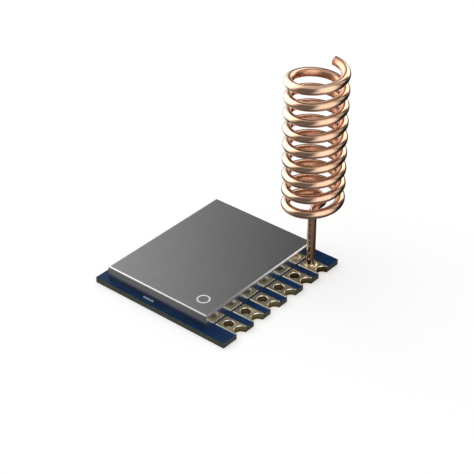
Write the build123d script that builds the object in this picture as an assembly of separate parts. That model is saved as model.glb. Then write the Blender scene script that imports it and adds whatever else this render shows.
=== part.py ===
from build123d import *
from math import asin, atan, cos, degrees, pi, sin, sqrt, tan
import os

# A small radio receiver module: a thin masked board with six plated half-hole pads on
# one edge, a folded metal can over the circuit, and a copper wire antenna that stands
# in the last pad and is wound into an open upright coil.
# Sizes are in millimetres. The origin is the centre of the board's underside, X runs
# along the pad row, the pads lie on the -Y edge, and Z points up.

# Antenna wire
wire_diameter = 0.9
coil_mean_diameter = 5.3
coil_pitch = 1.66
coil_turns = 9
coil_clearance_height = 6.7      # board top to the wire's centre line where the coil starts
stem_bend_radius = 0.95          # wire centre line, stem to arm
arm_bend_radius = 1.0            # wire centre line, arm to first turn
wire_facets = 8                  # sides of the wire's section past its stem
wire_hole_clearance = 0.05       # wire surface to plated bore
joint_spread = 0.3               # solder's reach over the pad, from the wire's surface
joint_rise = 0.32                # solder's climb up the stem, from the pad

# Board
board_thickness = 0.6            # face to face, with the mask on both faces
board_depth = 16.5
board_end_distance = 2.54        # board end to the nearest pad's centre
mask_thickness = 0.02

# Castellated pads
pad_count = 6
pad_pitch = 2.54
pad_rise = 0.1                   # pad surface above the mask
notch_radius = 0.65              # plated half-hole at the board's edge
notch_side_land = 0.2            # pad left on each side of the half-hole
notch_hole_web = 0.39            # pad between the half-hole and the round hole
hole_back_land = 0.44            # pad behind the round hole
plating_thickness = 0.05

# Shield can
can_sheet = 0.15
can_bend_inner_radius = 0.05
can_headroom = 0.5               # tallest part to the can's ceiling
can_left_margin = 0.62
can_right_margin = 0.86
can_back_margin = 1.17
can_pad_gap = 0.1                # pads' back ends to the can's wall
tack_length = 1.3                # solder tacks at the can's foot
tack_reach = 0.12
tack_rise = 0.1
tack_hollow = 0.32               # how near a tack's face comes to its corner, 0.5 being flat
tack_setback = 1.05              # side tacks, from the can's middle towards the back
tack_land_margin = 0.06

# Parts under the can
part_gap = 0.6
chip_size = 4.0
chip_height = 0.8
chip_standoff = 0.05
chip_contact_pitch = 0.65
chip_contacts_per_side = 4
chip_contact_width = 0.3
chip_contact_length = 0.45
chip_paddle_size = 2.4
crystal_length = 3.2
crystal_width = 2.5
crystal_base_height = 0.45
crystal_lid_height = 0.25
crystal_lid_inset = 0.16
crystal_lid_edge_cut = 0.08
crystal_corner_cut = 0.15
crystal_terminal_size = 0.8
end_cap_proud = 0.02
land_toe = 0.15                  # land beyond the end of a part's end cap
column_parts = 3                 # inductors, and resistors, in their columns
row_parts = 4                    # capacitors in each of their two rows
resistor = dict(length=1.0, width=0.5, height=0.35, end_cap=0.2)
capacitor = dict(length=1.0, width=0.5, height=0.5, end_cap=0.25)
inductor = dict(length=1.6, width=0.8, height=0.8, end_cap=0.35)

# Worked out
wire_radius = wire_diameter / 2
wire_section_radius = wire_radius * sqrt(2 * pi / (wire_facets * sin(2 * pi / wire_facets)))
coil_radius = coil_mean_diameter / 2
hole_radius = wire_radius + wire_hole_clearance
hole_inset = notch_radius + notch_hole_web + hole_radius
pad_width = 2 * (notch_radius + notch_side_land)
pad_length = hole_inset + hole_radius + hole_back_land
board_length = (pad_count - 1) * pad_pitch + 2 * board_end_distance
board_front = -board_depth / 2
mask_top = board_thickness
core_top = board_thickness - mask_thickness
pad_top = mask_top + pad_rise
hole_row = board_front + hole_inset

can_left = -board_length / 2 + can_left_margin
can_right = board_length / 2 - can_right_margin
can_front = board_front + pad_length + can_pad_gap
can_back = board_depth / 2 - can_back_margin
can_length = can_right - can_left
can_depth = can_back - can_front
can_centre_x = (can_left + can_right) / 2
can_centre_y = (can_front + can_back) / 2
can_height = chip_standoff + chip_height + can_headroom + can_sheet
can_bend_radius = can_bend_inner_radius + can_sheet


def pad_x(index):
    """Centre of a pad along the board, counted from the left end."""
    return (index - (pad_count - 1) / 2) * pad_pitch


def block(length, width, height, x=0, y=0, z=0):
    """A block centred on (x, y) and standing on z."""
    return Pos(x, y, z) * Box(length, width, height, align=(Align.CENTER, Align.CENTER, Align.MIN))


def post(radius, height, x=0, y=0, z=0):
    """An upright cylinder standing on z."""
    return Pos(x, y, z) * Cylinder(radius, height, align=(Align.CENTER, Align.CENTER, Align.MIN))


def top_edges(shape):
    """The edges round a shape's highest face."""
    return shape.faces().sort_by(Axis.Z)[-1].edges()


def pad_outline(index, bottom, top):
    """The rectangle of a pad between two heights."""
    return block(pad_width, pad_length, top - bottom, pad_x(index), board_front + pad_length / 2, bottom)


def pad_bores(index, extra=0):
    """The round hole and the half-hole of a pad, cut through the board."""
    height = board_thickness + 2 * pad_rise
    hole = post(hole_radius + extra, height, pad_x(index), hole_row, -pad_rise / 2)
    notch = post(notch_radius + extra, height, pad_x(index), board_front, -pad_rise / 2)
    return hole + notch


def make_pad(index):
    """One plated pad: both faces, the bored barrel and the half-barrel at the edge."""
    walls = pad_bores(index, plating_thickness) & pad_outline(index, mask_thickness, core_top)
    faces = pad_outline(index, 0, mask_thickness) + pad_outline(index, core_top, pad_top)
    return faces + walls - pad_bores(index)


def tack_places():
    """Where the can is tacked to the board: middle of each tack's foot, and its turn."""
    side_y = can_centre_y + tack_setback
    return [Pos(can_left, side_y, mask_top) * Rot(0, 0, 180),
            Pos(can_right, side_y, mask_top),
            Pos(can_centre_x, can_back, mask_top) * Rot(0, 0, 90)]


def make_tack(place):
    """A concave bead of solder in the corner between the can's wall and its land."""
    rise = Line((0, 0), (0, tack_rise))
    middle = (tack_reach * tack_hollow, tack_rise * tack_hollow)
    face = ThreePointArc((0, tack_rise), middle, (tack_reach, 0))
    foot = Line((tack_reach, 0), (0, 0))
    section = Plane.XZ * make_face([rise, face, foot])
    return place * Pos(0, tack_length / 2, 0) * extrude(section, tack_length, dir=(0, -1, 0))


def make_tack_land(place):
    """The bare copper under a tack, level with the mask and reaching under the wall."""
    length = tack_reach + can_sheet + tack_land_margin
    shape = Pos((tack_reach + tack_land_margin - can_sheet) / 2, 0, -mask_thickness) * Box(
        length, tack_length + 2 * tack_land_margin, mask_thickness,
        align=(Align.CENTER, Align.CENTER, Align.MIN))
    return place * shape


def make_can():
    """The can: a ceiling and four walls folded down from one sheet, meeting at their corners."""
    outer = block(can_length, can_depth, can_height)
    outer = fillet(top_edges(outer), can_bend_radius)
    inner = block(can_length - 2 * can_sheet, can_depth - 2 * can_sheet, can_height - can_sheet)
    inner = fillet(top_edges(inner), can_bend_inner_radius)
    return Pos(can_centre_x, can_centre_y, mask_top) * (outer - inner)


def antenna_start():
    """Where the wire joins its first turn: the turn's angle from +X, in radians."""
    return asin(arm_bend_radius / (coil_radius - arm_bend_radius))


def make_antenna():
    """Stem, two bends, arm and coil of one round wire, swept in stretches and joined."""
    rise_angle = atan(coil_pitch / (2 * pi * coil_radius))
    start = antenna_start()
    start_height = mask_top + coil_clearance_height + coil_pitch * start / (2 * pi)
    join = Vector(coil_radius * cos(start), coil_radius * sin(start), start_height)
    heading = Vector(-sin(start) * cos(rise_angle), cos(start) * cos(rise_angle), sin(rise_angle))
    reach = coil_radius * tan(start) / cos(rise_angle)
    corner = join - heading * reach
    arm_axis = Vector(corner.X, corner.Y, 0).normalized()
    arm_end = corner - arm_axis * reach
    stem_top = Vector(0, 0, corner.Z - stem_bend_radius)
    arm_foot = Vector(0, 0, corner.Z) + arm_axis * stem_bend_radius

    stem = Line((0, 0, 0), stem_top)
    stem_bend = TangentArc(stem_top, arm_foot, tangent=(0, 0, 1))
    arm = Line(arm_foot, arm_end)
    arm_bend = TangentArc(arm_end, join, tangent=arm_axis)
    turns = coil_turns - start / (2 * pi)
    coil = Helix(coil_pitch, coil_pitch * turns, coil_radius)
    coil = Pos(0, 0, start_height) * Rot(0, 0, degrees(start)) * coil

    level = Vector(0, 0, 1).cross(arm_axis)
    bend_axis = arm_axis.cross(heading).normalized()
    outward = Vector(cos(start), sin(start), 0)
    section = RegularPolygon(wire_section_radius, wire_facets)
    wire = sweep(Circle(wire_radius), path=stem)
    for stretch, side in ((stem_bend, level), (arm, level), (arm_bend, bend_axis), (coil, outward)):
        start_plane = Plane(origin=stretch @ 0, x_dir=side, z_dir=stretch % 0)
        wire += sweep(start_plane * section, path=stretch, is_frenet=stretch is coil)
    return Pos(pad_x(pad_count - 1), hole_row, 0) * wire


def make_antenna_joint():
    """Solder round the stem: it fills the last pad's bore and climbs a little above."""
    skirt = Cone(wire_radius + joint_spread, wire_radius, joint_rise,
                 align=(Align.CENTER, Align.CENTER, Align.MIN))
    solder = post(hole_radius, pad_top) + Pos(0, 0, pad_top) * skirt
    solder -= post(wire_radius, pad_top + joint_rise)
    return Pos(pad_x(pad_count - 1), hole_row, 0) * solder


def make_end_capped(kind, x, y, turned):
    """A ceramic chip part with a proud metal cap round each end, lying on its lands."""
    body = block(kind["length"] - 2 * end_cap_proud, kind["width"] - 2 * end_cap_proud,
                 kind["height"] - 2 * end_cap_proud, z=end_cap_proud)
    for side in (-1, 1):
        offset = side * (kind["length"] - kind["end_cap"]) / 2
        body += block(kind["end_cap"], kind["width"], kind["height"], x=offset)
    return Pos(x, y, mask_top) * Rot(0, 0, 90 if turned else 0) * body


def make_end_lands(kind, x, y, turned):
    """The two copper lands under an end-capped part, level with the mask."""
    lands = []
    for side in (-1, 1):
        offset = side * (kind["length"] - kind["end_cap"] + land_toe) / 2
        land = block(kind["end_cap"] + land_toe, kind["width"], mask_thickness, x=offset)
        lands.append(Pos(x, y, core_top) * Rot(0, 0, 90 if turned else 0) * land)
    return lands


def chip_part_places():
    """Name, kind, place and turn of every end-capped part, in columns and a row round the chip."""
    right = can_centre_x + chip_size / 2 + part_gap
    left = can_centre_x - chip_size / 2 - part_gap - crystal_width - part_gap
    inductor_x = right + inductor["length"] / 2
    right_x = right + inductor["length"] + part_gap + capacitor["length"] / 2
    left_x = left - resistor["length"] / 2
    back_y = can_centre_y + chip_size / 2 + part_gap + capacitor["length"] / 2

    places = []
    for n in range(column_parts):
        y = can_centre_y + (n - (column_parts - 1) / 2) * (inductor["width"] + part_gap)
        places.append((f"inductor_{n + 1}", inductor, inductor_x, y, False))
        places.append((f"resistor_{n + 1}", resistor, left_x, y, False))
    for n in range(row_parts):
        offset = (n - (row_parts - 1) / 2) * (capacitor["width"] + part_gap)
        places.append((f"capacitor_{n + 1}", capacitor, right_x, can_centre_y + offset, False))
        places.append((f"capacitor_{n + 1 + row_parts}", capacitor, can_centre_x + offset, back_y, True))
    return places


def chip_sides():
    """Middle of each row of contacts on the chip's underside, with its turn."""
    edge = (chip_size - chip_contact_length) / 2
    return [Pos(can_centre_x, can_centre_y) * Rot(0, 0, 90 * side) * Pos(edge, 0) for side in range(4)]


def make_chip():
    """The moulded receiver chip, above its contacts, with a chamfered top edge."""
    body = block(chip_size, chip_size, chip_height, can_centre_x, can_centre_y, mask_top + chip_standoff)
    return chamfer(top_edges(body), chip_standoff)


def make_chip_contacts(bottom, height):
    """Contact pads and centre paddle of the chip, between two heights."""
    contacts = []
    for side in chip_sides():
        for n in range(chip_contacts_per_side):
            along = (n - (chip_contacts_per_side - 1) / 2) * chip_contact_pitch
            contacts.append(side * block(chip_contact_length, chip_contact_width, height, y=along, z=bottom))
    paddle = block(chip_paddle_size, chip_paddle_size, height, can_centre_x, can_centre_y, bottom)
    return contacts + [paddle]


def crystal_centre():
    """The crystal lies left of the chip."""
    return can_centre_x - chip_size / 2 - part_gap - crystal_width / 2, can_centre_y


def make_crystal_base():
    """Ceramic tray of the crystal."""
    base = block(crystal_width, crystal_length, crystal_base_height, *crystal_centre(), mask_top)
    return chamfer(base.edges().filter_by(Axis.Z), crystal_corner_cut)


def make_crystal_lid():
    """Metal lid sealed on the crystal's tray."""
    lid = block(crystal_width - 2 * crystal_lid_inset, crystal_length - 2 * crystal_lid_inset,
                crystal_lid_height, *crystal_centre(), mask_top + crystal_base_height)
    lid = chamfer(lid.edges().filter_by(Axis.Z), crystal_corner_cut)
    return chamfer(top_edges(lid), crystal_lid_edge_cut)


def make_crystal_lands():
    """Four copper lands under the crystal's corners."""
    x, y = crystal_centre()
    across = (crystal_width - crystal_terminal_size) / 2
    along = (crystal_length - crystal_terminal_size) / 2
    corners = [(x + i * across, y + j * along) for i in (-1, 1) for j in (-1, 1)]
    return [block(crystal_terminal_size, crystal_terminal_size, mask_thickness, *corner, core_top)
            for corner in corners]


def make_component_lands():
    """All copper lands under the can, as separate flat pieces level with the mask."""
    lands = make_chip_contacts(core_top, mask_thickness) + make_crystal_lands()
    for name, kind, x, y, turned in chip_part_places():
        lands += make_end_lands(kind, x, y, turned)
    return lands


def make_mask_windows():
    """Openings in the top mask: one for each row of chip contacts, each small part and each large land."""
    row = (chip_contacts_per_side - 1) * chip_contact_pitch + chip_contact_width
    windows = [side * block(chip_contact_length, row, mask_thickness, z=core_top) for side in chip_sides()]
    windows.append(block(chip_paddle_size, chip_paddle_size, mask_thickness, can_centre_x, can_centre_y, core_top))
    for name, kind, x, y, turned in chip_part_places():
        window = block(kind["length"] + 2 * land_toe, kind["width"], mask_thickness)
        windows.append(Pos(x, y, core_top) * Rot(0, 0, 90 if turned else 0) * window)
    return windows + make_crystal_lands() + [make_tack_land(place) for place in tack_places()]


def cut(shape, tools):
    """A shape with each tool taken out of it."""
    for tool in tools:
        shape = shape - tool
    return shape


def save(name, shapes):
    """Write one sub-part, of one solid or several, as its own file."""
    solids = [solid for shape in shapes for solid in shape.solids()]
    whole = solids[0] if len(solids) == 1 else Compound(children=solids)
    export_step(whole, f"parts/{name}.step")


def main():
    os.makedirs("parts", exist_ok=True)
    indexes = range(pad_count)
    bores = [pad_bores(n, plating_thickness) for n in indexes]
    top_openings = [pad_outline(n, core_top, pad_top) for n in indexes]
    bottom_openings = [pad_outline(n, 0, mask_thickness) for n in indexes]

    core = block(board_length, board_depth, core_top - mask_thickness, z=mask_thickness)
    save("pcb_laminate", [cut(core, bores)])
    top_mask = block(board_length, board_depth, mask_thickness, z=core_top)
    save("solder_mask_top", [cut(top_mask, top_openings + make_mask_windows())])
    bottom_mask = block(board_length, board_depth, mask_thickness)
    save("solder_mask_bottom", [cut(bottom_mask, bottom_openings)])
    save("component_lands", make_component_lands())
    save("can_lands", [make_tack_land(place) for place in tack_places()])

    for n in indexes:
        save(f"pad_{n + 1}", [make_pad(n)])
    save("antenna_wire", [make_antenna()])
    save("antenna_solder", [make_antenna_joint()])

    save("shield_can", [make_can()])
    for name, place in zip(("left", "right", "back"), tack_places()):
        save(f"can_solder_{name}", [make_tack(place)])

    save("receiver_chip", [make_chip()])
    save("chip_contacts", make_chip_contacts(mask_top, chip_standoff))
    save("crystal_base", [make_crystal_base()])
    save("crystal_lid", [make_crystal_lid()])
    for name, kind, x, y, turned in chip_part_places():
        save(name, [make_end_capped(kind, x, y, turned)])


main()
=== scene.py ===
from math import asin, atan, cos, pi, radians, sin, tan

import bpy
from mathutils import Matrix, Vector


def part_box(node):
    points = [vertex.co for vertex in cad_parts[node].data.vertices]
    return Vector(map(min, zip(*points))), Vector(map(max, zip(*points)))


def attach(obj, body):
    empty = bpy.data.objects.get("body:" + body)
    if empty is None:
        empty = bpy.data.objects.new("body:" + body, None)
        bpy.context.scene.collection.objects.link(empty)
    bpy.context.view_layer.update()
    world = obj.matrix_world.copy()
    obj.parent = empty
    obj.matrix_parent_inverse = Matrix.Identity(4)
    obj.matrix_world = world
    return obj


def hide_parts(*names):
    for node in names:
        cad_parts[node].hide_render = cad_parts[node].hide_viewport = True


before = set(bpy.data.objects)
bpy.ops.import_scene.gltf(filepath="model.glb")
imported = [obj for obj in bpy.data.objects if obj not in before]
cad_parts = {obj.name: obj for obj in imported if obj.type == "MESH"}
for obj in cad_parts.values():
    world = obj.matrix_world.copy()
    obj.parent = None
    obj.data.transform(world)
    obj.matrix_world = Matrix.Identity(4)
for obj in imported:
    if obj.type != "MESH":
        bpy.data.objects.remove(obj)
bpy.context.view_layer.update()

# A small radio receiver module: a blue board with six castellated pads, a brushed
# metal can, and a copper wire antenna wound into an upright coil.
# Lengths are in metres. X runs along the pad row, the pads lie on the -Y edge, Z is up.

MM = 0.001

# Places read from the frame
can_low, can_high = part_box("shield_can")
mask_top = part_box("solder_mask_top")[1].z
board_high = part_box("pcb_laminate")[1]
solder_low, solder_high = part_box("antenna_solder")
stem_axis = (solder_low + solder_high) / 2
pad_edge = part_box("pad_6")[0].y
pad_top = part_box("pad_6")[1].z

# Antenna wire, as the frame has it
wire_radius = 0.45 * MM
coil_radius = 2.65 * MM
coil_pitch = 1.66 * MM
coil_turns = 9
coil_clearance = 6.7 * MM
stem_bend_radius = 0.95 * MM
arm_bend_radius = 1.0 * MM
turn_steps = 48
bend_steps = 14
wire_roundness = 10

# Pads
pad_count = 6
pad_lip = 0.09 * MM
pad_lip_segments = 4

# Solder round the stem
pad_hole_radius = 0.5 * MM
joint_sides = 64
joint_steps = 8
joint_hollow = 2.2
joint_climb = 1.6
joint_inner_radius = 0.9 * wire_radius
joint_foot = 0.01 * MM

# The plain index ring printed on the can
ring_from_left = 1.89 * MM
ring_from_pads = 2.02 * MM
ring_radius = 0.67 * MM
ring_stroke = 0.15 * MM
ring_sides = 96
ink_thickness = 0.012 * MM

# How near two points count as one and two heights as level, and how two faces meet
merge_gap = 0.0001 * MM
level_gap = 0.001 * MM
flat_angle = radians(1)
sharp_angle = radians(40)

# Camera, at the photograph's angle
view_azimuth = -50.155
view_elevation = 33.85
view_target = Vector((0.9, -1.7, 4.6)) * MM
view_distance = 135 * MM
view_lens = 104.83
view_sensor = 36
view_near = 1 * MM

# Floor, room light, and the cards that only reflections see
floor_size = 4
floor_drop = 0.01 * MM
floor_shade = 0.62
floor_glow = 0.445
shadow_share = 0.95
shadow_ends = (0.3, 0.1)         # millimetres in from the board's ends
shadow_sides = (1.3, 1.0)        # millimetres in from its long sides
room_light = 0.6
tent_radius = 0.16
tent_segments = 64
tent_rings = 32
tent_level = 0.19
tent_roof_level = 0.5
tent_roof = (45, 78)
cloth_radius = 0.158
cloth_sides = 96
cloth_drop = 0.005 * MM
cloth_level = 0.10

# Parts of the tent's light: middle bearing, half width and soft edge, all in degrees,
# the heights between which the part begins and ends, and its level
tent_parts = [
    (42, 20, 10, None, (5, 30), -0.15),
    (110, 14, 8, None, (8, 27), -0.13),
    (40, 9, 7, (12, 28), (48, 62), 0.62),
    (128, 8, 8, (8, 27), None, 0.12),
    (181, 40, 23, None, (38, 75), 2.7),
    (-16, 34, 18, None, (48, 76), 1.35),
    (90, 18, 8, (3, 20), (42, 72), 2.2),
]

# The same for the ground cloth, with distances in millimetres in place of heights
cloth_parts = [
    (-115, 45, 25, None, None, 0.12),
    (85, 50, 20, None, None, -0.08),
    (-20, 40, 20, None, None, 0.09),
    (178, 36, 18, (16, 42), None, 1.9),
    (-16, 34, 18, (16, 42), None, 1.2),
    (92, 16, 8, None, (13, 16), 1.7),
]


# Shader maths

class Signal:
    """One shader socket. Arithmetic on it adds Math nodes; node() adds any other node."""

    def __init__(self, tree, socket):
        self.tree = tree
        self.socket = socket

    def node(self, kind, settings=None, inputs=None, output=0):
        made = self.tree.nodes.new("ShaderNode" + kind)
        for name, value in (settings or {}).items():
            setattr(made, name, value)
        for name, value in (inputs or {}).items():
            if isinstance(value, Signal):
                self.tree.links.new(value.socket, made.inputs[name])
            else:
                made.inputs[name].default_value = value
        return Signal(self.tree, made.outputs[output])

    def math(self, operation, *values):
        return self.node("Math", {"operation": operation}, dict(enumerate(values)))

    def __add__(self, other):
        return self.math("ADD", self, other)

    def __sub__(self, other):
        return self.math("SUBTRACT", self, other)

    def __mul__(self, other):
        return self.math("MULTIPLY", self, other)

    def __truediv__(self, other):
        return self.math("DIVIDE", self, other)

    def __radd__(self, other):
        return self.math("ADD", other, self)

    def __rsub__(self, other):
        return self.math("SUBTRACT", other, self)

    def __rmul__(self, other):
        return self.math("MULTIPLY", other, self)

    def clamp(self, low=0.0, high=1.0):
        return self.math("MINIMUM", self.math("MAXIMUM", self, low), high)

    def unsigned(self):
        """The value without its sign."""
        return self.math("ABSOLUTE", self)

    def between(self, low, high):
        """0 below low, 1 above high, and a smooth rise from one to the other."""
        return self.node("MapRange", {"interpolation_type": "SMOOTHSTEP"},
                         {"Value": self, "From Min": low, "From Max": high})

    def near(self, centre, half, soft):
        """1 for a bearing within half of the centre, in degrees, with soft sides."""
        turned = self.math("WRAP", self - centre, 180.0, -180.0)
        return 1 - turned.unsigned().between(half - soft, half + soft)

    def mix(self, first, second):
        """The first colour where this is 0, and the second where it is 1."""
        return self.node("Mix", {"data_type": "RGBA"}, {0: self, 6: first, 7: second}, output=2)


def split(where):
    """The three parts of a vector."""
    return [where.node("SeparateXYZ", None, {0: where}, output=n) for n in range(3)]


def colour(shade):
    """A colour of four numbers from a grey level or three numbers."""
    if isinstance(shade, (int, float)):
        return (shade, shade, shade, 1)
    return (*shade, 1)


class Finish:
    """A procedural material on the Principled shader."""

    def __init__(self, name, **sockets):
        self.material = bpy.data.materials.new(name)
        self.material.use_nodes = True
        self.tree = self.material.node_tree
        self.shader = self.tree.nodes["Principled BSDF"]
        self.origin = Signal(self.tree, None)
        for socket, value in sockets.items():
            self.shader.inputs[socket.replace("_", " ")].default_value = value

    def place(self, scale=1.0, stretch=(1, 1, 1)):
        """Object coordinates in millimetres, times a scale, stretched along the axes."""
        where = self.origin.node("TexCoord", output=3)
        size = Vector(stretch) * scale / MM
        return self.origin.node("Mapping", None, {"Vector": where, "Scale": size})

    def axes(self):
        """The three object coordinates in millimetres."""
        return split(self.place())

    def noise(self, where, scale=1.0, detail=2.0, roughness=0.5):
        return self.origin.node("TexNoise", None, {"Vector": where, "Scale": scale, "Detail": detail,
                                                   "Roughness": roughness})

    def feed(self, socket, signal):
        self.tree.links.new(signal.socket, self.shader.inputs[socket])

    def bump(self, height, distance, strength=1.0):
        """Feeds Normal from a height whose range stands for a distance in millimetres."""
        normal = self.origin.node("Bump", None, {"Height": height, "Distance": distance * MM,
                                                 "Strength": strength})
        self.feed("Normal", normal)


# Finishes

def can_finish():
    """Tin-plated steel: a finely brushed ceiling darkened with painted shade, paler walls, bends painted
    paler still as a painted highlight, the wall over the pads painted pale as a painted reflection, and a
    painted highlight along the fold over the pads that brightens towards the right.
    """
    finish = Finish("brushed_can", Metallic=1.0)
    fine = finish.noise(finish.place(stretch=(9, 0.35, 9)), detail=4.0, roughness=0.7)
    broad = finish.noise(finish.place(stretch=(2.2, 0.12, 2.2)), detail=2.0)
    blotches = finish.noise(finish.place(0.5), detail=3.0)
    tone = (fine * 0.4 + broad * 0.2 + blotches * 0.4).between(0.3, 0.7)
    sides = tone.mix(colour((0.490, 0.490, 0.495)), colour((0.525, 0.525, 0.525)))
    # Bends: a paler colour as a painted highlight along the can's folds.
    bends_painted_highlight = tone.mix(colour(0.66), colour(0.72))
    # The wall over the pads: painted paler to brighten its reflection of the pads, a painted reflection.
    pad_side_painted_reflection = tone.mix(colour(0.83), colour((0.90, 0.90, 0.89)))
    # The ceiling's dark grey is painted shade, over the real brushed streaks of the tone.
    brushed_shaded_top = tone.mix(colour((0.158, 0.158, 0.160)), colour((0.174, 0.174, 0.174)))

    x, y, z = finish.axes()
    left, front = can_low.x / MM, can_low.y / MM
    right, back, roof = can_high.x / MM, can_high.y / MM, can_high.z / MM
    left_bend = (left + 0.08, left + 0.15)
    right_bend = (right - 0.15, right - 0.08)
    back_bend = (back - 0.15, back - 0.08)
    bend_foot = (roof - 0.16, roof - 0.10)
    top_skin = (roof - 0.03, roof - 0.005)
    pad_side_skin = (front + 0.004, front + 0.016)
    fold_back = (front + 0.15, front + 0.19)
    fold_foot = (roof - 0.13, roof - 0.08)
    fold_highlight_rise = (left + 2.5, left + 12.5)

    fold = (1 - y.between(*fold_back)) * z.between(*fold_foot)
    # The fold over the pads: a near-white, less metallic colour brightening towards the right, a painted
    # highlight.
    fold_painted_highlight = x.between(*fold_highlight_rise).mix(colour(0.27), colour((0.99, 0.98, 0.97)))
    flat = x.between(*left_bend) * (1 - x.between(*right_bend)) * (1 - y.between(*back_bend))
    top = z.between(*top_skin) * flat
    walls = y.between(*pad_side_skin).mix(pad_side_painted_reflection, sides)
    folded = z.between(*bend_foot).mix(walls, bends_painted_highlight)
    finish.feed("Base Color", fold.mix(top.mix(folded, brushed_shaded_top), fold_painted_highlight))
    finish.feed("Metallic", 1 - 0.65 * fold - 0.2 * (top * (1 - fold)))
    finish.feed("Roughness", 0.22 - top * (0.06 - fine * 0.05) + fold * 0.15)
    finish.bump(fine, 0.0006, 0.5)
    return finish.material


def mask_finish():
    """Glossy dark blue solder mask, a little uneven over the copper below."""
    finish = Finish("blue_mask", Specular_IOR_Level=0.08)
    cloud = finish.noise(finish.place(0.8), detail=3.0)
    fine = finish.noise(finish.place(6), detail=3.0)
    blue = cloud.between(0.3, 0.7).mix(colour((0.0010, 0.0190, 0.070)), colour((0.0022, 0.0300, 0.096)))
    finish.feed("Base Color", blue)
    finish.feed("Roughness", 0.14 + fine * 0.10)
    finish.bump(cloud * 0.7 + fine * 0.3, 0.006, 0.25)
    return finish.material


def laminate_finish():
    """Cut glass-epoxy: thin woven layers, greenish brown."""
    finish = Finish("cut_laminate")
    layers = finish.noise(finish.place(stretch=(2.5, 2.5, 26)), detail=2.0)
    fibres = finish.noise(finish.place(14), detail=3.0)
    tone = (layers * 0.6 + fibres * 0.4).between(0.35, 0.65)
    finish.feed("Base Color", tone.mix(colour((0.020, 0.025, 0.015)), colour((0.095, 0.105, 0.070))))
    finish.feed("Roughness", 0.5 + fibres * 0.3)
    finish.bump(layers * 0.5 + fibres * 0.5, 0.02, 0.6)
    return finish.material


def pad_finish():
    """Gold-plated copper, satin, with a faint grain, a painted highlight on its lips, and painted shade in
    its bores, darker towards the bottom.
    """
    finish = Finish("plated_gold", Metallic=1.0)
    cloud = finish.noise(finish.place(1.6), detail=3.0)
    grain = finish.noise(finish.place(16), detail=3.0)
    y, z = finish.axes()[1:]
    level = pad_top / MM
    foot = level - pad_lip / MM
    above = z.between(foot - 0.015, foot + 0.015)
    lip_highlight_band = above * (1 - z.between(level - 0.016, level - 0.006))
    face = cloud.between(0.35, 0.65).mix(colour((0.27, 0.235, 0.137)), colour((0.33, 0.295, 0.185)))
    # The lip's near-white colour is a painted highlight.
    outer = lip_highlight_band.mix(face, colour((0.97, 0.94, 0.82)))
    # Bores and half bores: painted shade, darker towards the bottom; the half bores are painted lighter.
    height = z.between(0.05, foot)
    shaded_half_bore = height.mix(colour((0.30, 0.21, 0.070)), colour((0.60, 0.49, 0.23)))
    shaded_bore = height.mix(colour((0.17, 0.092, 0.036)), colour((0.44, 0.30, 0.12)))
    half_bore_back = (pad_edge / MM + 0.75, pad_edge / MM + 0.85)
    wall = y.between(*half_bore_back).mix(shaded_half_bore, shaded_bore)
    finish.feed("Base Color", above.mix(wall, outer))
    finish.feed("Roughness", 0.16 + grain * 0.14)
    finish.bump(grain, 0.003, 0.5)
    return finish.material


def copper_finish():
    """Bright drawn copper wire; on the coil's inner side its colour is painted deeper and darker as
    painted shade and reflection of the copper round it, and it is duller there.
    """
    finish = Finish("drawn_copper", Metallic=1.0)
    cloud = finish.noise(finish.place(0.7), detail=3.0)
    outer = cloud.between(0.35, 0.65).mix(colour((0.69, 0.44, 0.30)), colour((0.76, 0.50, 0.345)))
    x, y, z = finish.axes()
    off_x = x - stem_axis.x / MM
    off_y = y - stem_axis.y / MM
    from_axis = x.math("SQRT", off_x * off_x + off_y * off_y)
    inner_side = ((coil_radius - wire_radius * 0.75) / MM, (coil_radius + wire_radius * 0.25) / MM)
    coil_start = (mask_top + coil_clearance) / MM
    coil_foot = (coil_start - 0.6, coil_start + 0.4)
    # The coil's inner side: a deeper, darker colour as painted shade and reflection, and a rougher
    # surface.
    inside = (1 - from_axis.between(*inner_side)) * z.between(*coil_foot)
    finish.feed("Base Color", inside.mix(outer, colour((0.66, 0.370, 0.235))))
    finish.feed("Roughness", 0.05 + cloud * 0.04 + inside * 0.17)
    return finish.material


def tack_finish():
    """A solder tack: a pale bluish colour above as a painted reflection, dark where it runs out on the
    mask.
    """
    finish = Finish("dull_solder", Metallic=1.0)
    grain = finish.noise(finish.place(8), detail=3.0)
    z = finish.axes()[2]
    foot = mask_top / MM
    # The pale bluish colour above is a painted reflection.
    painted_glint = grain.mix(colour((0.76, 0.84, 0.92)), colour((0.86, 0.93, 0.98)))
    upper = z.between(foot + 0.035, foot + 0.060)
    finish.feed("Base Color", upper.mix(colour((0.10, 0.14, 0.20)), painted_glint))
    finish.feed("Roughness", 0.22 + grain * 0.15)
    return finish.material


def joint_finish():
    """Solder round the stem, painted golden below and paler above as a painted reflection of the gilt pad
    and the copper wire.
    """
    finish = Finish("stem_joint", Metallic=1.0)
    cloud = finish.noise(finish.place(5), detail=2.0)
    z = finish.axes()[2]
    reflection_rise = z.between(pad_top / MM + 0.02, pad_top / MM + 0.2)
    # Golden below and paler above: painted reflections of the pad and the wire.
    finish.feed("Base Color", reflection_rise.mix(colour((0.55, 0.45, 0.26)), colour((0.70, 0.56, 0.40))))
    finish.feed("Roughness", 0.16 + cloud * 0.10)
    return finish.material


def moulded_finish(name, dark, light, roughness, metallic=0.0):
    """A plain mottled surface for the parts under the can and the lands of its tacks."""
    finish = Finish(name, Metallic=metallic)
    grain = finish.noise(finish.place(8), detail=3.0)
    finish.feed("Base Color", grain.between(0.35, 0.65).mix(colour(dark), colour(light)))
    finish.feed("Roughness", roughness + grain * 0.15)
    finish.bump(grain, 0.01, 0.4)
    return finish.material


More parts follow.
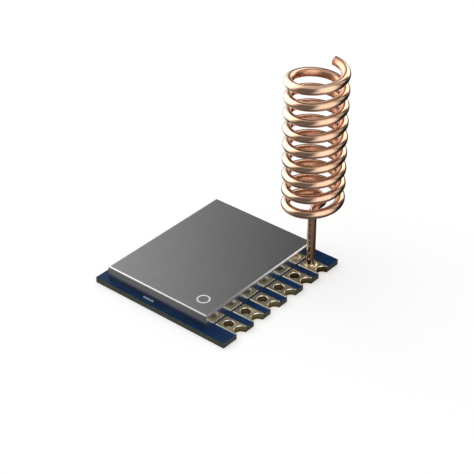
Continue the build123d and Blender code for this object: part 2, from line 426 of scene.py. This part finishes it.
def ink_finish():
    """Thin white printed ink."""
    finish = Finish("white_ink")
    cloud = finish.noise(finish.place(9), detail=3.0)
    finish.feed("Base Color", cloud.mix(colour(0.62), colour(0.78)))
    finish.feed("Roughness", 0.5 + cloud * 0.2)
    return finish.material


# Modelling helpers

def choose(piece):
    """Makes a piece the only selected one, and the active one."""
    bpy.ops.object.select_all(action="DESELECT")
    piece.select_set(True)
    bpy.context.view_layer.objects.active = piece


def settle(piece):
    """Puts a finished piece's place, turn and scale into its mesh."""
    choose(piece)
    bpy.ops.object.transform_apply(location=True, rotation=True, scale=True)


def add_piece(piece, name, material, replaced=()):
    """Names a finished piece, gives it its material and ties it to the frame."""
    piece.name = name
    piece.data.name = name
    piece.data.materials.clear()
    piece.data.materials.append(material)
    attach(piece, "root")
    if replaced:
        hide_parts(*replaced)
    return piece


def paint(node, material):
    """Gives a frame node its finish."""
    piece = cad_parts[node]
    piece.data.materials.clear()
    piece.data.materials.append(material)


# The plated pads

def polish_pad(number, material):
    """A copy of a pad with a rounded lip round its upper face, in the pad's place."""
    node = f"pad_{number}"
    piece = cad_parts[node].copy()
    piece.data = piece.data.copy()
    bpy.context.scene.collection.objects.link(piece)
    choose(piece)
    bpy.ops.mesh.customdata_custom_splitnormals_clear()
    bpy.ops.object.mode_set(mode="EDIT")
    bpy.ops.mesh.select_all(action="SELECT")
    bpy.ops.mesh.remove_doubles(threshold=merge_gap)
    bpy.ops.mesh.dissolve_limited(angle_limit=flat_angle)
    bpy.ops.mesh.normals_make_consistent(inside=False)
    bpy.ops.mesh.select_all(action="DESELECT")
    bpy.ops.mesh.select_mode(type="EDGE")
    bpy.ops.mesh.edges_select_sharp(sharpness=sharp_angle)
    bpy.ops.object.mode_set(mode="OBJECT")
    mesh = piece.data
    sharp = [edge for edge in mesh.edges if edge.select]
    for element in (*mesh.vertices, *mesh.edges, *mesh.polygons):
        element.select = False
    for edge in sharp:
        lowest = min(mesh.vertices[corner].co.z for corner in edge.vertices)
        edge.select = lowest > pad_top - level_gap
    bpy.ops.object.mode_set(mode="EDIT")
    bpy.ops.mesh.bevel(offset=pad_lip, segments=pad_lip_segments, affect="EDGES", clamp_overlap=False)
    bpy.ops.object.mode_set(mode="OBJECT")
    bpy.ops.object.shade_smooth_by_angle(angle=sharp_angle)
    even = piece.modifiers.new("even", "WEIGHTED_NORMAL")
    even.keep_sharp = True
    bpy.ops.object.modifier_apply(modifier=even.name)
    return add_piece(piece, f"plated_pad_{number}", material, [node])


# The wound antenna wire

def arc_points(centre, start, end):
    """Points on a round bend about a centre, after its start and up to its end."""
    first = start - centre
    last = end - centre
    turn = first.angle(last)
    axis = first.cross(last).normalized()
    side = axis.cross(first)
    return [centre + first * cos(turn * n / bend_steps) + side * sin(turn * n / bend_steps)
            for n in range(1, bend_steps + 1)]


def wire_route():
    """The wire's centre line from the board's underside to the coil's free end."""
    rise = atan(coil_pitch / (2 * pi * coil_radius))
    start = asin(arm_bend_radius / (coil_radius - arm_bend_radius))
    base = mask_top + coil_clearance
    foot = Vector((stem_axis.x, stem_axis.y, 0))

    def turn_point(angle):
        height = base + coil_pitch * angle / (2 * pi)
        return foot + Vector((coil_radius * cos(angle), coil_radius * sin(angle), height))

    join = turn_point(start)
    heading = Vector((-sin(start) * cos(rise), cos(start) * cos(rise), sin(rise)))
    reach = coil_radius * tan(start) / cos(rise)
    corner = join - heading * reach
    arm = Vector((corner.x - foot.x, corner.y - foot.y, 0)).normalized()
    arm_end = corner - arm * reach
    up = Vector((0, 0, 1))
    stem_top = Vector((foot.x, foot.y, corner.z - stem_bend_radius))
    arm_foot = stem_top + up * stem_bend_radius + arm * stem_bend_radius
    stem_centre = stem_top + arm * stem_bend_radius
    bend_axis = arm.cross(heading).normalized()
    arm_radius = reach / tan(arm.angle(heading) / 2)
    arm_centre = arm_end + bend_axis.cross(arm) * arm_radius

    points = [foot, stem_top]
    points += arc_points(stem_centre, stem_top, arm_foot)
    points += [arm_end]
    points += arc_points(arm_centre, arm_end, join)
    angle = start + 2 * pi / turn_steps
    last = 2 * pi * coil_turns
    while angle < last:
        points.append(turn_point(angle))
        angle += 2 * pi / turn_steps
    points.append(turn_point(last))
    return points


def make_wire(material):
    """One smooth round wire: stem, two bends, arm and coil."""
    points = wire_route()
    curve = bpy.data.curves.new("antenna", "CURVE")
    curve.dimensions = "3D"
    line = curve.splines.new("POLY")
    line.points.add(len(points) - 1)
    for point, place in zip(line.points, points):
        point.co = (*place, 1)
    curve.bevel_depth = wire_radius
    curve.bevel_resolution = wire_roundness
    curve.use_fill_caps = True
    piece = bpy.data.objects.new("antenna", curve)
    bpy.context.scene.collection.objects.link(piece)
    choose(piece)
    bpy.ops.object.convert(target="MESH")
    piece = bpy.context.active_object
    bpy.ops.object.mode_set(mode="EDIT")
    bpy.ops.mesh.select_all(action="SELECT")
    bpy.ops.mesh.remove_doubles(threshold=merge_gap)
    bpy.ops.mesh.normals_make_consistent(inside=False)
    bpy.ops.object.mode_set(mode="OBJECT")
    bpy.ops.object.shade_smooth_by_angle(angle=sharp_angle)
    return add_piece(piece, "wound_antenna", material, ["antenna_wire"])


# The solder round the stem

def make_joint(material):
    """A hollow cone of solder that climbs the stem, over the filled bore."""
    spread = (solder_high.x - solder_low.x) / 2
    rise = solder_high.z - pad_top
    rings = [(pad_hole_radius, 0.0), (pad_hole_radius, pad_top), (spread, pad_top + joint_foot)]
    for n in range(1, joint_steps + 1):
        share = n / joint_steps
        radius = wire_radius + (spread - wire_radius) * (1 - share) ** joint_hollow
        rings.append((radius, pad_top + rise * share ** joint_climb))
    rings.append((joint_inner_radius, solder_high.z))
    bpy.ops.object.select_all(action="DESELECT")
    bpy.ops.mesh.primitive_circle_add(vertices=joint_sides, radius=rings[0][0], fill_type="NOTHING",
                                      location=(stem_axis.x, stem_axis.y, rings[0][1]))
    piece = bpy.context.active_object
    bpy.ops.object.mode_set(mode="EDIT")
    bpy.ops.mesh.select_all(action="SELECT")
    for (old, low), (new, high) in zip(rings, rings[1:]):
        bpy.ops.mesh.extrude_edges_move(TRANSFORM_OT_translate={"value": (0, 0, high - low)})
        bpy.ops.transform.resize(value=(new / old, new / old, 1),
                                 center_override=(stem_axis.x, stem_axis.y, high))
    bpy.ops.mesh.extrude_edges_move(TRANSFORM_OT_translate={"value": (0, 0, -rings[-1][1])})
    bpy.ops.mesh.select_all(action="DESELECT")
    bpy.ops.mesh.select_non_manifold()
    bpy.ops.mesh.bridge_edge_loops()
    bpy.ops.mesh.select_all(action="SELECT")
    bpy.ops.mesh.normals_make_consistent(inside=False)
    bpy.ops.object.mode_set(mode="OBJECT")
    settle(piece)
    bpy.ops.object.shade_smooth_by_angle(angle=sharp_angle)
    return add_piece(piece, "stem_solder", material, ["antenna_solder"])


# The printed ring

def make_ring(material):
    """A flat printed ring near the can's front corner."""
    centre = (can_low.x + ring_from_left, can_low.y + ring_from_pads, can_high.z)
    bpy.ops.object.select_all(action="DESELECT")
    bpy.ops.mesh.primitive_circle_add(vertices=ring_sides, radius=ring_radius, fill_type="NGON",
                                      location=centre)
    piece = bpy.context.active_object
    bpy.ops.object.mode_set(mode="EDIT")
    bpy.ops.mesh.select_all(action="SELECT")
    bpy.ops.mesh.inset(thickness=ring_stroke)
    bpy.ops.mesh.delete(type="FACE")
    bpy.ops.mesh.select_all(action="SELECT")
    bpy.ops.mesh.extrude_region_move(TRANSFORM_OT_translate={"value": (0, 0, ink_thickness)})
    bpy.ops.mesh.select_all(action="SELECT")
    bpy.ops.mesh.normals_make_consistent(inside=False)
    bpy.ops.object.mode_set(mode="OBJECT")
    settle(piece)
    return add_piece(piece, "index_ring", material)


# Finishes on the frame's nodes

mask_paint = mask_finish()
pad_paint = pad_finish()
copper_paint = copper_finish()
joint_paint = joint_finish()
tack_paint = tack_finish()
finishes = {
    "shield_can": can_finish(),
    "solder_mask_top": mask_paint,
    "solder_mask_bottom": mask_paint,
    "pcb_laminate": laminate_finish(),
    "component_lands": pad_paint,
    "can_lands": moulded_finish("tinned_land", (0.05, 0.07, 0.11), (0.07, 0.10, 0.15), 0.35, metallic=1.0),
    "can_solder_left": tack_paint,
    "can_solder_right": tack_paint,
    "can_solder_back": tack_paint,
    "receiver_chip": moulded_finish("black_mould", (0.012, 0.012, 0.012), (0.022, 0.022, 0.022), 0.5),
    "chip_contacts": pad_paint,
    "crystal_base": moulded_finish("crystal_tray", (0.38, 0.34, 0.27), (0.46, 0.41, 0.33), 0.5),
    "crystal_lid": moulded_finish("satin_lid", (0.50, 0.48, 0.42), (0.58, 0.55, 0.49), 0.3, metallic=1.0),
    "antenna_wire": copper_paint,
    "antenna_solder": joint_paint,
}
kind_finishes = {
    "pad": pad_paint,
    "capacitor": moulded_finish("tan_ceramic", (0.20, 0.13, 0.08), (0.28, 0.19, 0.12), 0.4),
    "inductor": moulded_finish("grey_ceramic", (0.20, 0.22, 0.24), (0.28, 0.30, 0.32), 0.4),
    "resistor": moulded_finish("black_glaze", (0.02, 0.02, 0.022), (0.035, 0.035, 0.04), 0.3),
}
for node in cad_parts:
    kind = node.split("_")[0]
    paint(node, finishes.get(node, kind_finishes.get(kind)))

for number in range(1, pad_count + 1):
    polish_pad(number, pad_paint)
make_wire(copper_paint)
make_joint(joint_paint)
make_ring(ink_finish())


# Studio

def seen_directly(origin):
    """1 for a ray from the camera or from a glossy or clear surface, else 0."""
    rays = [origin.node("LightPath", output=name)
            for name in ("Is Camera Ray", "Is Glossy Ray", "Is Transmission Ray")]
    return (rays[0] + rays[1] + rays[2]).clamp()


def make_floor():
    """A white floor that keeps the part's soft shadow, with its glow cut under the board as painted shade.
    """
    bpy.ops.object.select_all(action="DESELECT")
    bpy.ops.mesh.primitive_plane_add(size=floor_size, location=(0, 0, -floor_drop))
    floor = bpy.context.active_object
    floor.name = "floor"
    finish = Finish("white_floor", Base_Color=colour(floor_shade), Roughness=0.9,
                    Specular_IOR_Level=0.0, Emission_Strength=1.0)
    x, y = finish.axes()[:2]
    past_ends = x.unsigned().between(*(board_high.x / MM - inset for inset in shadow_ends))
    past_sides = y.unsigned().between(*(board_high.y / MM - inset for inset in shadow_sides))
    # Less glow under the board: painted shade.
    shaded_under_board = (1 - past_ends) * (1 - past_sides)
    glow = seen_directly(finish.origin) * floor_glow * (1 - shadow_share * shaded_under_board)
    finish.feed("Emission Color", glow)
    floor.data.materials.append(finish.material)


def make_world():
    """Soft even light from all round, and a white background."""
    world = bpy.data.worlds.new("studio")
    world.use_nodes = True
    bpy.context.scene.world = world
    tree = world.node_tree
    strength = room_light + seen_directly(Signal(tree, None)) * (1 - room_light)
    tree.links.new(strength.socket, tree.nodes["Background"].inputs["Strength"])
    tree.nodes["Background"].inputs["Color"].default_value = colour(1.0)


def direction(azimuth, elevation):
    """The way from the part to a viewer or lamp at these angles."""
    a = radians(azimuth)
    e = radians(elevation)
    return Vector((sin(a) * cos(e), -cos(a) * cos(e), sin(e)))


def aim(thing, target):
    """Turns a camera or lamp towards a point."""
    thing.rotation_euler = (target - thing.location).to_track_quat("-Z", "Y").to_euler()


def make_lamp(azimuth, elevation, distance, size, radiance):
    """A square lamp with a given brightness of face, left out of reflections."""
    lamp = bpy.data.lights.new("key", "AREA")
    lamp.shape = "SQUARE"
    lamp.size = size
    lamp.energy = radiance * pi * size * size
    softbox = bpy.data.objects.new("key", lamp)
    bpy.context.scene.collection.objects.link(softbox)
    softbox.location = view_target + direction(azimuth, elevation) * distance
    softbox.visible_glossy = False
    aim(softbox, view_target)


def make_card(card, name):
    """Makes a piece a studio card that only reflections see, and gives it a glowing finish."""
    card.name = name
    card.visible_camera = False
    card.visible_diffuse = False
    card.visible_transmission = False
    card.visible_shadow = False
    finish = Finish(name, Base_Color=colour(0.0), Specular_IOR_Level=0.0, Emission_Strength=1.0)
    card.data.materials.append(finish.material)
    return finish


def add_parts(level, bearing, along, parts):
    """Adds light and dark parts, each between bearings and from a start to an end along a measure."""
    for centre, half, soft, start, end, strength in parts:
        part = bearing.near(centre, half, soft)
        if start:
            part = part * along.between(*start)
        if end:
            part = part * (1 - along.between(*end))
        level = level + strength * part
    return level


def bearing_of(x, y):
    """The azimuth of a place, in degrees, from -180 to 180."""
    return x.math("ARCTAN2", x, 0 - y) * (180 / pi)


def make_tent():
    """A round tent of dark cloth with broad light panels, paler overhead."""
    bpy.ops.object.select_all(action="DESELECT")
    bpy.ops.mesh.primitive_uv_sphere_add(segments=tent_segments, ring_count=tent_rings, radius=tent_radius)
    finish = make_card(bpy.context.active_object, "tent")
    x, y, z = finish.axes()
    rise = z / (tent_radius / MM)
    height = rise.math("ARCSINE", rise) * (180 / pi)
    level = tent_level + tent_roof_level * height.between(*tent_roof)
    finish.feed("Emission Color", add_parts(level, bearing_of(x, y), height, tent_parts))


def make_ground_cloth():
    """Dark cloth round the part on the floor, lighter further off before the panels."""
    bpy.ops.object.select_all(action="DESELECT")
    bpy.ops.mesh.primitive_circle_add(vertices=cloth_sides, radius=cloth_radius, fill_type="NGON",
                                      location=(0, 0, -cloth_drop))
    finish = make_card(bpy.context.active_object, "ground_cloth")
    where = finish.place()
    x, y = split(where)[:2]
    reach = where.node("VectorMath", {"operation": "LENGTH"}, {0: where}, output="Value")
    finish.feed("Emission Color", add_parts(cloth_level, bearing_of(x, y), reach, cloth_parts))


def make_camera():
    """A long lens on the part, at the photograph's angle."""
    data = bpy.data.cameras.new("camera")
    data.lens = view_lens
    data.sensor_width = view_sensor
    data.clip_start = view_near
    camera = bpy.data.objects.new("camera", data)
    bpy.context.scene.collection.objects.link(camera)
    camera.location = view_target + direction(view_azimuth, view_elevation) * view_distance
    aim(camera, view_target)
    bpy.context.scene.camera = camera


make_floor()
make_world()
make_lamp(azimuth=-168, elevation=64, distance=0.35, size=0.50, radiance=0.95)
make_tent()
make_ground_cloth()
make_camera()
bpy.context.scene.view_settings.view_transform = "Standard"
